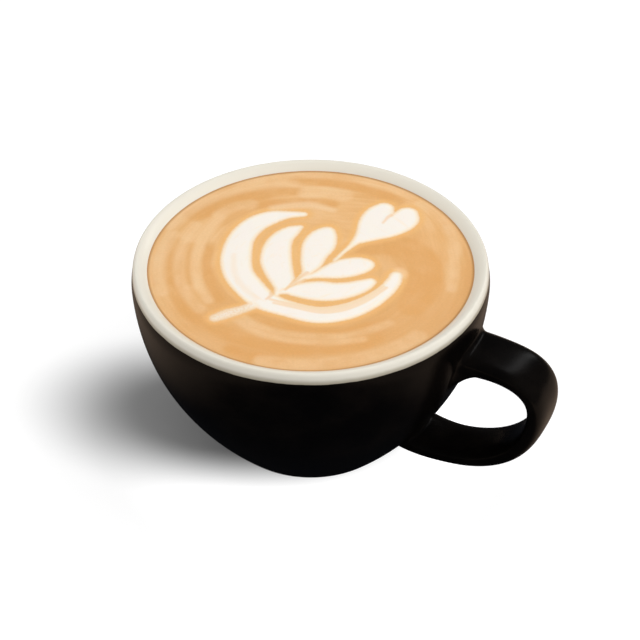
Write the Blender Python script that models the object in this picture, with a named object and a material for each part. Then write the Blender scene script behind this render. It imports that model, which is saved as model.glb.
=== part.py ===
"""A cup of cappuccino: a round glazed cup with a strap handle, filled nearly to the brim,
with the poured milk foam pattern (a crescent, four leaves and a heart) inlaid in the drink.

The cup's axis is Z and its foot stands on Z = 0. The handle points along +X.
"""

import math

import bmesh
import bpy
import numpy as np
from mathutils import Vector
from mathutils.geometry import delaunay_2d_cdt

MM = 0.001

# Cup
RIM_RADIUS = 47.5 * MM
CUP_HEIGHT = 57.7 * MM
LIP_WIDTH = 4.7 * MM  # the wall's thickness under the lip
LIP_HEIGHT = 2.35 * MM
LIP_CREST = 1.5 * MM  # how far in from the outside the highest line runs
LIP_SLOPE_HANDLES = ((0.0, 0.4 * MM), (1.8 * MM, 2.2 * MM))  # inside, from where it starts
LIP_EDGE_HANDLES = ((-0.6 * MM, 2.35 * MM), (0.0, 1.25 * MM))  # outside, from where it ends
BODY_FOOT_RADIUS = 25.15 * MM  # where the body's curve meets the foot
FOOT_HEIGHT = 2.2 * MM
FOOT_RADIUS = 22.95 * MM
FOOT_EDGE = 0.6 * MM
OUTER_TOP_HANDLE = 20.8 * MM  # how far the wall keeps to the vertical below the lip
OUTER_FOOT_HANDLE = (15.0 * MM, 17.1 * MM)  # how the body leaves the foot, out and up
INNER_TOP_HANDLE = 22.0 * MM
INNER_FLOOR_HANDLE = 28.0 * MM
FLOOR_THICKNESS = 5.5 * MM

# Handle: a flat strap, bent in the XZ plane. Each stretch of its middle line is a cubic curve.
STRAP_LINE = (
    ((42.0, 43.6), (46.1, 42.6), (60.3, 45.9), (65.3, 39.3)),
    ((65.3, 39.3), (68.0, 36.1), (67.6, 30.4), (65.9, 25.8)),
    ((65.9, 25.8), (60.8, 11.8), (43.7, 7.2), (31.0, 10.6)),
)
STRAP_STATIONS = (0.0, 0.07, 0.17, 0.32, 0.6, 0.85, 1.0)  # shares of the strap's length
STRAP_THICKNESS = (7.4, 7.0, 5.5, 5.2, 5.5, 5.2, 6.4)
STRAP_WIDTH = (15.4, 15.3, 15.0, 14.9, 14.4, 13.8, 15.2)
STRAP_SQUARENESS = 3.0  # exponent of the section's rounded rectangle
STRAP_TOP_FILLET = 7.5 * MM  # where the hole side of the strap's upper end meets the body
STRAP_UNDER_FILLET = 0.2 * MM  # under the lower end, which leaves the body at a flat angle
STRAP_FILLET = 1.8 * MM  # all round elsewhere
STRAP_FILLET_SINK = 0.25 * MM  # the fillet dives under the body's surface by this much
STRAP_ROOT_DEPTH = 2.2 * MM  # how deep the strap's ends reach into the wall
STRAP_RUN_ON = 8.0 * MM  # past both ends of the middle line, so every side reaches that deep

# Drink
DRINK_BELOW_RIM = 2.0 * MM
FOAM_DEPTH = 3.0 * MM
CLEARANCE = 0.3 * MM  # kept between neighbouring pieces

# How the pattern lies in the cup: it is drawn with the pourer facing it, moved away from the
# pourer a little, and turned to the handle.
PATTERN_SHIFT = 0.67 * MM
PATTERN_TURN = math.radians(26.8)

# Milk foam pattern. Each piece is a ribbon: x, y and half width along its middle line, in mm.
FOAM_RIBBONS = {
    "crescent": (
        (-2.0, 22.1, 1.0),
        (-6.2, 21.9, 1.6),
        (-10.9, 20.6, 2.9),
        (-15.4, 17.2, 3.4),
        (-18.7, 11.1, 3.6),
        (-19.8, 3.0, 4.1),
        (-19.1, -3.6, 4.0),
        (-16.5, -9.2, 4.0),
        (-12.3, -15.2, 3.7),
        (-6.4, -18.7, 3.1),
        (1.4, -21.5, 3.2),
        (8.2, -20.5, 3.15),
        (14.1, -17.2, 2.8),
        (18.9, -12.4, 2.3),
        (21.5, -8.1, 2.0),
        (22.4, -5.2, 1.6),
    ),
    "left_leaf": (
        (-8.8, -13.0, 0.8),
        (-8.2, -10.6, 1.2),
        (-7.4, -7.6, 3.0),
        (-8.4, -3.3, 3.75),
        (-9.2, 1.4, 4.15),
        (-9.0, 6.6, 3.8),
        (-7.8, 11.0, 3.1),
        (-5.4, 14.2, 2.3),
        (-2.9, 16.2, 0.8),
    ),
    "middle_leaf": (
        (-5.1, -9.2, 0.8),
        (-2.7, -6.4, 0.8),
        (-0.9, -3.4, 1.4),
        (0.2, 0.1, 2.8),
        (1.0, 4.2, 3.6),
        (2.2, 8.1, 4.4),
        (3.2, 11.4, 3.8),
        (4.3, 13.9, 2.3),
        (5.0, 15.2, 0.9),
    ),
    "upper_right_leaf": (
        (-3.4, -8.2, 0.8),
        (-1.5, -6.1, 0.9),
        (1.4, -4.9, 1.3),
        (5.1, -3.5, 2.8),
        (8.6, -2.2, 3.9),
        (12.0, -1.1, 3.7),
        (14.2, -0.6, 2.6),
        (15.1, -0.6, 1.3),
    ),
    "lower_right_leaf": (
        (-8.8, -12.4, 0.8),
        (-6.2, -11.6, 1.3),
        (-2.6, -11.4, 2.9),
        (1.9, -11.6, 4.0),
        (5.9, -11.9, 3.7),
        (9.9, -11.1, 3.1),
        (13.2, -9.6, 2.5),
        (15.5, -8.0, 1.6),
    ),
    "heart_left": (
        (6.4, 1.4, 0.5),
        (8.6, 4.8, 0.5),
        (11.3, 8.4, 0.9),
        (14.4, 13.0, 2.3),
        (16.9, 18.0, 3.9),
        (18.6, 21.8, 3.9),
        (20.1, 24.6, 2.7),
    ),
    "heart_right": (
        (12.6, 9.6, 0.9),
        (16.8, 12.8, 2.6),
        (21.4, 16.0, 4.0),
        (25.1, 19.2, 4.1),
        (26.4, 22.2, 2.9),
    ),
    "tail": (
        (-13.0, -16.4, 1.5),
        (-17.2, -19.0, 1.2),
        (-21.2, -20.9, 1.5),
        (-24.4, -22.7, 1.2),
    ),
}

# Smoothness
TURN_SEGMENTS = 80
OUTER_STEPS = 12
INNER_STEPS = 10
LIP_STEPS = 5  # on each side of the crest
STRAP_STEPS = 22  # along the free part of the strap
STRAP_FILLET_STEPS = 6
MEASURING_STEPS = 200  # for the curves that lengths and distances are measured on
RUN_ON_STEPS = 50
STRAP_SIDES = 24
RIBBON_STEPS = 3  # between two stations of a ribbon
RIBBON_CAP_STEPS = 5
SHARP_ANGLE = math.radians(40)  # edges that turn by more stay crisp
SAME_POINT = 1e-7  # outline points closer than this, in metres, become one

# Finishes: colour, roughness
BLACK_GLAZE = ((0.010, 0.009, 0.009), 0.42)
WHITE_GLAZE = ((0.80, 0.78, 0.74), 0.15)
COFFEE = ((0.60, 0.33, 0.13), 0.35)
MILK = ((0.90, 0.85, 0.78), 0.40)


def clear_scene():
    for old in list(bpy.data.objects):
        bpy.data.objects.remove(old, do_unlink=True)


def material(name, finish):
    colour, roughness = finish
    made = bpy.data.materials.new(name)
    made.use_nodes = True
    shader = made.node_tree.nodes["Principled BSDF"]
    shader.inputs["Base Color"].default_value = (*colour, 1.0)
    shader.inputs["Roughness"].default_value = roughness
    shader.inputs["Metallic"].default_value = 0.0
    return made


def add_object(name, vertices, faces, materials=()):
    mesh = bpy.data.meshes.new(name)
    mesh.from_pydata([tuple(float(x) for x in v) for v in vertices], [], faces)
    for finish in materials:
        mesh.materials.append(finish)
    mesh.validate()
    placed = bpy.data.objects.new(name, mesh)
    bpy.context.scene.collection.objects.link(placed)
    return placed


def make_helper(helper):
    """A cutter or a shape that another object joins: it isn't a part of its own."""
    helper.hide_render = True
    helper.display_type = "WIRE"
    return helper


def combine(target, operation, other):
    step = target.modifiers.new(operation.title(), "BOOLEAN")
    step.operation = operation
    step.solver = "EXACT"
    step.object = other


def cubic(ends_and_handles, steps):
    """Points of one cubic curve, its first point included and its last left out."""
    a, b, c, d = (np.array(p, float) for p in ends_and_handles)
    t = np.linspace(0.0, 1.0, steps, endpoint=False)[:, None]
    return (1 - t) ** 3 * a + 3 * (1 - t) ** 2 * t * b + 3 * (1 - t) * t**2 * c + t**3 * d


def outer_curve(steps):
    """The body's outside, from the lip down to the foot, as (radius, height)."""
    top = (RIM_RADIUS, CUP_HEIGHT - LIP_HEIGHT)
    foot = (BODY_FOOT_RADIUS, FOOT_HEIGHT)
    top_handle = (top[0], top[1] - OUTER_TOP_HANDLE)
    foot_handle = (foot[0] + OUTER_FOOT_HANDLE[0], foot[1] + OUTER_FOOT_HANDLE[1])
    return cubic((top, top_handle, foot_handle, foot), steps)


def inner_curve(steps, gap=0.0):
    """The inside below the lip, from the floor's middle up, as (radius, height)."""
    top = (RIM_RADIUS - LIP_WIDTH - gap, CUP_HEIGHT - LIP_HEIGHT)
    floor = (0.0, FLOOR_THICKNESS + gap)
    top_handle = (top[0], top[1] - INNER_TOP_HANDLE)
    floor_handle = (INNER_FLOOR_HANDLE - gap, floor[1])
    return cubic((floor, floor_handle, top_handle, top), steps)


def foot_outline():
    """From the body's curve down over the foot's edge to the middle of its underside."""
    return np.array(
        [
            (BODY_FOOT_RADIUS, FOOT_HEIGHT),
            (FOOT_RADIUS + FOOT_EDGE, FOOT_HEIGHT - FOOT_EDGE),
            (FOOT_RADIUS, FOOT_HEIGHT - 2 * FOOT_EDGE),
            (FOOT_RADIUS, FOOT_EDGE),
            (FOOT_RADIUS - FOOT_EDGE, 0.0),
            (0.0, 0.0),
        ]
    )


def lip_outline():
    """The lip: a slope from the inside up to the crest, then a round edge to the outside."""
    start = np.array([RIM_RADIUS - LIP_WIDTH, CUP_HEIGHT - LIP_HEIGHT])
    crest = np.array([RIM_RADIUS - LIP_CREST, CUP_HEIGHT])
    end = np.array([RIM_RADIUS, CUP_HEIGHT - LIP_HEIGHT])
    slope = [start + handle for handle in LIP_SLOPE_HANDLES]
    edge = [end + handle for handle in LIP_EDGE_HANDLES]
    return np.vstack([cubic((start, *slope, crest), LIP_STEPS), cubic((crest, *edge, end), LIP_STEPS)])


def turned(name, outline, materials=(), finish_of_step=None):
    """A solid of revolution. The outline starts and ends on the axis and keeps the solid on
    its right-hand side, as (radius, height)."""
    angles = np.arange(TURN_SEGMENTS) * (2 * math.pi / TURN_SEGMENTS)
    rings = outline[1:-1]
    vertices = [(r * math.cos(a), r * math.sin(a), z) for r, z in rings for a in angles]
    first, last = len(vertices), len(vertices) + 1
    vertices += [(0.0, 0.0, outline[0][1]), (0.0, 0.0, outline[-1][1])]
    faces = []
    for j in range(TURN_SEGMENTS):
        k = (j + 1) % TURN_SEGMENTS
        faces.append((first, j, k))
        for i in range(len(rings) - 1):
            low, high = i * TURN_SEGMENTS, (i + 1) * TURN_SEGMENTS
            faces.append((low + j, high + j, high + k, low + k))
        end = (len(rings) - 1) * TURN_SEGMENTS
        faces.append((end + j, last, end + k))
    made = add_object(name, vertices, faces, materials)
    if finish_of_step is not None:
        per_turn = len(rings) + 1
        for number, polygon in enumerate(made.data.polygons):
            polygon.material_index = finish_of_step(number % per_turn)
    return made


def shade(target):
    target.data.shade_smooth()
    target.data.set_sharp_from_angle(angle=SHARP_ANGLE)


def distance_to_body(points):
    """How far points (x, y, z) lie outside the body's turned surface, negative inside."""
    outline = np.vstack([outer_curve(MEASURING_STEPS), foot_outline()])
    start, run = outline[:-1], np.diff(outline, axis=0)
    flat = np.stack([np.hypot(points[:, 0], points[:, 1]), points[:, 2]], axis=1)
    offset = flat[:, None] - start
    along = np.clip((offset * run).sum(axis=2) / (run**2).sum(axis=1), 0.0, 1.0)
    distance = np.linalg.norm(offset - along[..., None] * run, axis=2).min(axis=1)
    wall = np.interp(flat[:, 1], outline[::-1, 1], outline[::-1, 0])
    return np.where(flat[:, 0] > wall, distance, -distance)


def strap_sections():
    """Frames along the strap: the share of its length, its middle, its direction out of the
    bend, and its half thickness and half width. The line runs on straight past both ends."""
    line = np.concatenate([cubic(stretch, MEASURING_STEPS) for stretch in STRAP_LINE])
    line = np.vstack([line, STRAP_LINE[-1][-1]]) * MM
    length = np.linalg.norm(np.diff(line, axis=0), axis=1).sum()
    run_on = np.linspace(0.0, STRAP_RUN_ON, RUN_ON_STEPS)[1:, None]
    before = (line[0] - line[1]) / np.linalg.norm(line[0] - line[1])
    after = (line[-1] - line[-2]) / np.linalg.norm(line[-1] - line[-2])
    line = np.vstack([line[0] + before * run_on[::-1], line, line[-1] + after * run_on])
    way = np.concatenate([[0.0], np.cumsum(np.linalg.norm(np.diff(line, axis=0), axis=1))])
    share = (way - STRAP_RUN_ON) / length
    tangent = np.gradient(line, axis=0)
    tangent /= np.linalg.norm(tangent, axis=1)[:, None]
    still = np.zeros(len(line))
    middle = np.stack([line[:, 0], still, line[:, 1]], axis=1)
    bend_out = np.stack([-tangent[:, 1], still, tangent[:, 0]], axis=1)
    thickness = np.interp(share, STRAP_STATIONS, STRAP_THICKNESS) * MM / 2
    width = np.interp(share, STRAP_STATIONS, STRAP_WIDTH) * MM / 2
    return share, middle, bend_out, thickness, width


def strap_rail(angle, sections):
    """One line along the strap's surface, which starts and ends inside the body's wall. Its
    ends flare out to meet the body in a fillet, wider on the hole side of the upper end."""
    share, middle, bend_out, thickness, width = sections
    side = np.array([0.0, 1.0, 0.0])
    across, outward = math.cos(angle), math.sin(angle)
    power = 2.0 / STRAP_SQUARENESS
    flat_across = math.copysign(abs(across) ** power, across)
    flat_outward = math.copysign(abs(outward) ** power, outward)
    rail = middle + (flat_outward * thickness)[:, None] * bend_out
    rail += (flat_across * width)[:, None] * side
    normal = (flat_outward * abs(flat_outward) / thickness)[:, None] * bend_out
    normal += (flat_across * abs(flat_across) / width)[:, None] * side
    normal /= np.linalg.norm(normal, axis=1)[:, None]
    half = len(rail) // 2
    hole_side = (1.0 - math.cos(math.pi * max(0.0, -outward))) / 2
    inner_share = ((1.0 - outward) / 2) ** 2
    upper_fillet = STRAP_FILLET + (STRAP_TOP_FILLET - STRAP_FILLET) * hole_side
    lower_fillet = STRAP_UNDER_FILLET + (STRAP_FILLET - STRAP_UNDER_FILLET) * inner_share
    turn = np.linspace(0.0, math.pi / 2, STRAP_FILLET_STEPS + 1)
    ends = []
    for reach, rows in ((upper_fillet, slice(0, half)), (lower_fillet, slice(-1, half, -1))):
        swell = reach * (1.0 - np.sin(turn))
        swell = np.concatenate([swell[:1], swell])
        height = reach * (1.0 - np.cos(turn)) - STRAP_FILLET_SINK
        height = np.concatenate([[-2 * STRAP_ROOT_DEPTH], height])
        at = []
        for out, aim in zip(swell, height):
            distance = distance_to_body((rail + normal * out)[rows])
            at.append(np.interp(aim, distance, share[rows]))
        ends.append((np.array(at), swell))
    (top_at, top_swell), (low_at, low_swell) = ends
    free = np.linspace(top_at[-1], low_at[-1], STRAP_STEPS + 1)[1:-1]
    at = np.concatenate([top_at, free, low_at[::-1]])
    swell = np.concatenate([top_swell, np.zeros(len(free)), low_swell[::-1]])
    columns = [np.interp(at, share, values) for values in (*rail.T, *normal.T)]
    return np.stack(columns[:3], axis=1) + np.stack(columns[3:], axis=1) * swell[:, None]


def make_strap():
    """The handle's strap. Its ends reach into the wall and are cut off there."""
    sections = strap_sections()
    angles = np.arange(STRAP_SIDES) * (2 * math.pi / STRAP_SIDES)
    rails = np.array([strap_rail(angle, sections) for angle in angles])
    rings = rails.transpose(1, 0, 2)
    count = len(rings)
    faces = []
    for i in range(count - 1):
        for j in range(STRAP_SIDES):
            k = (j + 1) % STRAP_SIDES
            near, far = i * STRAP_SIDES, (i + 1) * STRAP_SIDES
            faces.append((near + j, near + k, far + k, far + j))
    faces.append(tuple(range(STRAP_SIDES))[::-1])
    faces.append(tuple((count - 1) * STRAP_SIDES + j for j in range(STRAP_SIDES)))
    strap = make_helper(add_object("strap", rings.reshape(-1, 3), faces))
    outward_normals(strap)
    shade(strap)
    return strap


def outward_normals(target):
    shape = bmesh.new()
    shape.from_mesh(target.data)
    bmesh.ops.recalc_face_normals(shape, faces=shape.faces)
    shape.to_mesh(target.data)
    shape.free()


def make_cup():
    black = material("black_glaze", BLACK_GLAZE)
    white = material("white_glaze", WHITE_GLAZE)
    inner = inner_curve(INNER_STEPS)
    lip = lip_outline()
    outline = np.vstack([inner, lip, outer_curve(OUTER_STEPS), foot_outline()])
    white_steps = len(inner) + len(lip) - 1
    cup = turned("cup", outline, (black, white), lambda step: 1 if step < white_steps else 0)
    core = make_helper(turned("wall_core", core_outline()))
    strap = make_strap()
    combine(strap, "DIFFERENCE", core)
    combine(cup, "UNION", strap)
    shade(cup)
    return cup


def core_outline():
    """A plug that reaches to a set depth below the body's outside, where the strap ends."""
    body = outer_curve(OUTER_STEPS)
    scale = 1.0 - STRAP_ROOT_DEPTH / RIM_RADIUS
    sides = np.stack([body[:, 0] * scale, body[:, 1]], axis=1)
    floor = FOOT_HEIGHT + STRAP_ROOT_DEPTH
    sides = sides[sides[:, 1] > floor + STRAP_ROOT_DEPTH]
    top = [(0.0, CUP_HEIGHT), (sides[0][0], CUP_HEIGHT)]
    bottom = [(sides[-1][0], floor), (0.0, floor)]
    return np.vstack([top, sides, bottom])


def ribbon_outline(stations, grow=0.0):
    """The closed outline of one foam ribbon in metres, round its ends, widened by grow."""
    row = np.array(stations, float) * MM
    row = np.vstack([2 * row[0] - row[1], row, 2 * row[-1] - row[-2]])
    line = []
    for before, here, after, later in zip(row, row[1:], row[2:], row[3:]):
        for t in np.linspace(0.0, 1.0, RIBBON_STEPS, endpoint=False):
            straight = 2 * here + (after - before) * t
            curved = (2 * before - 5 * here + 4 * after - later) * t**2
            line.append(0.5 * (straight + curved + (3 * here - before - 3 * after + later) * t**3))
    line = np.array([*line, row[-2]])
    middle, half = line[:, :2], line[:, 2:] + grow
    tangent = np.gradient(middle, axis=0)
    tangent /= np.linalg.norm(tangent, axis=1)[:, None]
    normal = np.stack([-tangent[:, 1], tangent[:, 0]], axis=1)
    turn = np.linspace(0.0, math.pi, RIBBON_CAP_STEPS + 1)[1:-1, None]
    end_cap = middle[-1] + half[-1] * (np.cos(turn) * normal[-1] + np.sin(turn) * tangent[-1])
    start_cap = middle[0] - half[0] * (np.cos(turn) * normal[0] + np.sin(turn) * tangent[0])
    left, right = middle + normal * half, middle - normal * half
    return np.vstack([left, end_cap, right[::-1], start_cap])


def pattern_faces(grow):
    """All ribbons as one flat sheet of triangles, turned to their place in the cup."""
    points, loops = [], []
    c, s = math.cos(PATTERN_TURN), math.sin(PATTERN_TURN)
    for stations in FOAM_RIBBONS.values():
        outline = ribbon_outline(stations, grow)
        loops.append(list(range(len(points), len(points) + len(outline))))
        outline += (0.0, PATTERN_SHIFT)
        points += [Vector((x * c - y * s, x * s + y * c)) for x, y in outline]
    flat, _, triangles, *_ = delaunay_2d_cdt(points, [], loops, 1, SAME_POINT)
    return flat, triangles


def make_pattern_slab(name, bottom, top, grow=0.0, materials=()):
    """The foam pattern as one solid slab between two heights."""
    flat, triangles = pattern_faces(grow)
    shape = bmesh.new()
    corners = [shape.verts.new((p.x, p.y, bottom)) for p in flat]
    sheet = [shape.faces.new([corners[i] for i in triangle]) for triangle in triangles]
    raised = bmesh.ops.extrude_face_region(shape, geom=sheet)["geom"]
    lifted = [v for v in raised if isinstance(v, bmesh.types.BMVert)]
    bmesh.ops.translate(shape, verts=lifted, vec=(0.0, 0.0, top - bottom))
    loose = [v for v in shape.verts if not v.link_faces]
    bmesh.ops.delete(shape, geom=loose, context="VERTS")
    bmesh.ops.recalc_face_normals(shape, faces=shape.faces)
    mesh = bpy.data.meshes.new(name)
    shape.to_mesh(mesh)
    shape.free()
    for finish in materials:
        mesh.materials.append(finish)
    slab = bpy.data.objects.new(name, mesh)
    bpy.context.scene.collection.objects.link(slab)
    return slab


def make_drink():
    """The coffee up to its level, recessed for the foam, and the foam pattern in the recess."""
    level = CUP_HEIGHT - DRINK_BELOW_RIM
    slope = lip_outline()[:LIP_STEPS]
    start = slope[0] - (CLEARANCE, 0.0)
    edge = np.interp(level, slope[:, 1], slope[:, 0]) - CLEARANCE
    sides = inner_curve(INNER_STEPS, CLEARANCE)
    top = [start, (edge, level), (0.0, level)]
    coffee = turned("coffee", np.vstack([sides, top]), [material("coffee", COFFEE)])
    foam_floor = level - FOAM_DEPTH
    make_pattern_slab("milk_foam", foam_floor, level, 0.0, [material("milk_foam", MILK)])
    recess = make_pattern_slab("foam_recess", foam_floor - CLEARANCE, level + FOAM_DEPTH, CLEARANCE)
    combine(coffee, "DIFFERENCE", make_helper(recess))
    shade(coffee)
    return coffee


clear_scene()
make_cup()
make_drink()
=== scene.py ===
import math

import bmesh
import bpy
import numpy as np
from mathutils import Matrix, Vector


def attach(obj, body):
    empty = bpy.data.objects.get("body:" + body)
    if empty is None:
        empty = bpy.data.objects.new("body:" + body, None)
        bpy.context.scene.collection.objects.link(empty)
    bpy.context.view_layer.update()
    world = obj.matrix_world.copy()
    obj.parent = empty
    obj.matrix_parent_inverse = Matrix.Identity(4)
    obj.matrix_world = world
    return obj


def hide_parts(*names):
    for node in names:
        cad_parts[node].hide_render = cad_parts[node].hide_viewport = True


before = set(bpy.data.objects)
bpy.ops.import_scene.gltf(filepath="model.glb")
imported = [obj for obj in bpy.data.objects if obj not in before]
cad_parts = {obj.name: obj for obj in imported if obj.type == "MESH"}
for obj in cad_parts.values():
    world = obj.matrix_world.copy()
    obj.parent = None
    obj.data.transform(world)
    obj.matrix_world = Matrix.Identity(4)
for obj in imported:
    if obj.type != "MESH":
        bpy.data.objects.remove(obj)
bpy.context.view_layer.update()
mm = 0.001

# The cup's axis is Z, its foot stands on Z = 0 and its handle points along +X, as in the frame.

# Camera
shot = {
    "azimuth": math.radians(26.66),
    "elevation": math.radians(39.314),
    "distance": 0.50724,
    "target": (0.00218, 0.00109, 0.03697),
    "lens": 105.53,
}


def makeCamera():
    az, el = shot["azimuth"], shot["elevation"]
    back = Vector((math.sin(az) * math.cos(el), -math.cos(az) * math.cos(el), math.sin(el)))
    data = bpy.data.cameras.new("camera")
    data.lens = shot["lens"]
    data.clip_start = 0.01
    placed = bpy.data.objects.new("camera", data)
    placed.location = Vector(shot["target"]) + back * shot["distance"]
    placed.rotation_euler = back.to_track_quat("Z", "Y").to_euler()
    bpy.context.scene.collection.objects.link(placed)
    bpy.context.scene.camera = placed


makeCamera()
print("camera done")


# Mesh helpers
def cubic(ends, steps):
    a, b, c, d = (np.array(p, float) for p in ends)
    t = np.linspace(0.0, 1.0, steps, endpoint=False)[:, None]
    return (1 - t) ** 3 * a + 3 * (1 - t) ** 2 * t * b + 3 * (1 - t) * t**2 * c + t**3 * d


def arc(middle, radius, start, end, steps):
    angle = np.linspace(start, end, steps, endpoint=False)
    return np.array(middle) + radius * np.stack([np.cos(angle), np.sin(angle)], axis=1)


def addMesh(name, vertices, faces):
    mesh = bpy.data.meshes.new(name)
    mesh.from_pydata(np.asarray(vertices).tolist(), [], faces)
    mesh.validate()
    placed = bpy.data.objects.new(name, mesh)
    bpy.context.scene.collection.objects.link(placed)
    return placed


def smooth(piece, sharpAngle=60.0):
    piece.data.shade_smooth()
    piece.data.set_sharp_from_angle(angle=math.radians(sharpAngle))


def storeValues(piece, name, values):
    made = piece.data.attributes.new(name, "FLOAT", "POINT")
    made.data.foreach_set("value", np.asarray(values, np.float32))


def storeVectors(piece, name, values):
    made = piece.data.attributes.new(name, "FLOAT_VECTOR", "POINT")
    made.data.foreach_set("vector", np.asarray(values, np.float32).ravel())


def ringFaces(rings, around):
    faces = []
    for i in range(rings - 1):
        for j in range(around):
            k = (j + 1) % around
            near, far = i * around, (i + 1) * around
            faces.append((near + j, far + j, far + k, near + k))
    return faces


def turnedMesh(outline, around):
    angles = np.arange(around) * (2 * math.pi / around)
    rings = np.asarray(outline)[1:-1]
    x = rings[:, 0, None] * np.cos(angles)
    y = rings[:, 0, None] * np.sin(angles)
    z = np.repeat(rings[:, 1, None], around, axis=1)
    vertices = np.stack([x, y, z], axis=2).reshape(-1, 3)
    ends = [(0.0, 0.0, outline[0][1]), (0.0, 0.0, outline[-1][1])]
    first, last = len(vertices), len(vertices) + 1
    faces = ringFaces(len(rings), around)
    end = (len(rings) - 1) * around
    for j in range(around):
        k = (j + 1) % around
        faces.append((first, j, k))
        faces.append((end + j, last, end + k))
    return np.vstack([vertices, ends]), faces


# Cup
cup = {
    "rimRadius": 47.5 * mm,
    "height": 57.7 * mm,
    "lipWidth": 4.7 * mm,
    "lipHeight": 2.35 * mm,
    "lipCrest": 1.5 * mm,  # how far in from the outside its highest line runs
    "lipSlopeHandles": ((0.0, 0.4 * mm), (1.8 * mm, 2.2 * mm)),
    "lipEdgeHandles": ((-0.4 * mm, 2.35 * mm), (0.0, 1.25 * mm)),
    "lipSteps": 16,  # on each side of the crest
    "footTop": (25.15 * mm, 2.2 * mm),
    "footRadius": 22.95 * mm,
    "footHollow": ((23.6 * mm, 1.7 * mm), (22.95 * mm, 1.6 * mm), (22.95 * mm, 1.0 * mm)),
    "footEdge": 0.6 * mm,
    "footRings": (0.97, 0.75, 0.5, 0.25, 0.0),  # across its underside
    "outerTopHandle": 20.8 * mm,
    "outerFootHandle": (15.0 * mm, 17.1 * mm),
    "innerTopHandle": 22.0 * mm,
    "innerFloorHandle": 28.0 * mm,
    "floorThickness": 5.5 * mm,
    "turnIn": 0.5 * mm,  # how much the outside turns in at the lip, so its black edge shows
    "turnInFrom": 51.5 * mm,
    "glazeLine": 54.95 * mm,  # where the white glaze of the lip stops outside
    "outerSteps": 100,
    "innerSteps": 48,
    "around": 256,
}
strap = {
    "line": (  # its middle line in X and Z, as curves with two handles each, in mm
        ((42.0, 43.6), (46.1, 42.6), (60.3, 45.9), (65.3, 39.3)),
        ((65.3, 39.3), (68.0, 36.1), (67.6, 30.4), (65.9, 25.8)),
        ((65.9, 25.8), (60.8, 11.8), (43.7, 7.2), (31.0, 10.6)),
    ),
    "stations": (0.0, 0.07, 0.17, 0.32, 0.6, 0.85, 1.0),  # shares of its length
    "thickness": (7.25, 6.85, 5.35, 5.05, 5.35, 5.05, 6.25),  # at each station, in mm
    "width": (15.4, 15.3, 15.0, 14.9, 14.4, 13.8, 15.2),
    "squareness": 3.0,  # power of the section's rounded outline
    "fillet": 1.8 * mm,
    "topFillet": 7.5 * mm,  # inside the gap, at its top
    "underFillet": 0.2 * mm,  # under the lower end
    "sink": 0.015 * mm,  # how deep a fillet's edge lies in the body
    "rootDepth": 1.5 * mm,  # how deep both ends reach into the wall
    "runOn": 8.0 * mm,  # the middle line runs on straight past both ends
    "runOnSteps": 50,
    "blur": 61,  # steps over which the stations' corners are rounded off
    "rowSpacing": 4,  # every fourth row of a rail is measured against the body
    "steps": 90,
    "filletSteps": 14,
    "around": 64,
}
measuringSteps = 200
insideLining = 20.0  # well clear of the line between the glazes, in mm


def outerCurve(steps):
    top = (cup["rimRadius"], cup["height"] - cup["lipHeight"])
    foot = cup["footTop"]
    topHandle = (top[0], top[1] - cup["outerTopHandle"])
    footHandle = (foot[0] + cup["outerFootHandle"][0], foot[1] + cup["outerFootHandle"][1])
    return cubic((top, topHandle, footHandle, foot), steps)


def innerCurve(steps, gap=0.0):
    top = (cup["rimRadius"] - cup["lipWidth"] - gap, cup["height"] - cup["lipHeight"])
    floor = (0.0, cup["floorThickness"] + gap)
    topHandle = (top[0], top[1] - cup["innerTopHandle"])
    return cubic((floor, (cup["innerFloorHandle"] - gap, floor[1]), topHandle, top), steps)


def lipCurve():
    start = np.array([cup["rimRadius"] - cup["lipWidth"], cup["height"] - cup["lipHeight"]])
    crest = np.array([cup["rimRadius"] - cup["lipCrest"], cup["height"]])
    end = np.array([cup["rimRadius"] - cup["turnIn"], cup["height"] - cup["lipHeight"]])
    slope = [start + handle for handle in cup["lipSlopeHandles"]]
    edge = [end + handle for handle in cup["lipEdgeHandles"]]
    steps = cup["lipSteps"]
    return np.vstack([cubic((start, *slope, crest), steps), cubic((crest, *edge, end), steps)])


def footCurve():
    radius, edge = cup["footRadius"], cup["footEdge"]
    hollow = cubic((cup["footTop"], *cup["footHollow"]), 8)
    rounded = arc((radius - edge, edge), edge, 0.0, -math.pi / 2, 6)
    flat = [(radius * share, 0.0) for share in cup["footRings"]]
    return np.vstack([hollow, rounded, flat])


def distanceToBody(points):
    foot = [cup["footTop"], (cup["footRadius"], 0.0), (0.0, 0.0)]
    outline = np.vstack([outerCurve(measuringSteps), foot])
    start, run = outline[:-1], np.diff(outline, axis=0)
    flat = np.stack([np.hypot(points[:, 0], points[:, 1]), points[:, 2]], axis=1)
    offset = flat[:, None] - start
    along = np.clip((offset * run).sum(axis=2) / (run**2).sum(axis=1), 0.0, 1.0)
    distance = np.linalg.norm(offset - along[..., None] * run, axis=2).min(axis=1)
    wall = np.interp(flat[:, 1], outline[::-1, 1], outline[::-1, 0])
    return np.where(flat[:, 0] > wall, distance, -distance)


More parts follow.
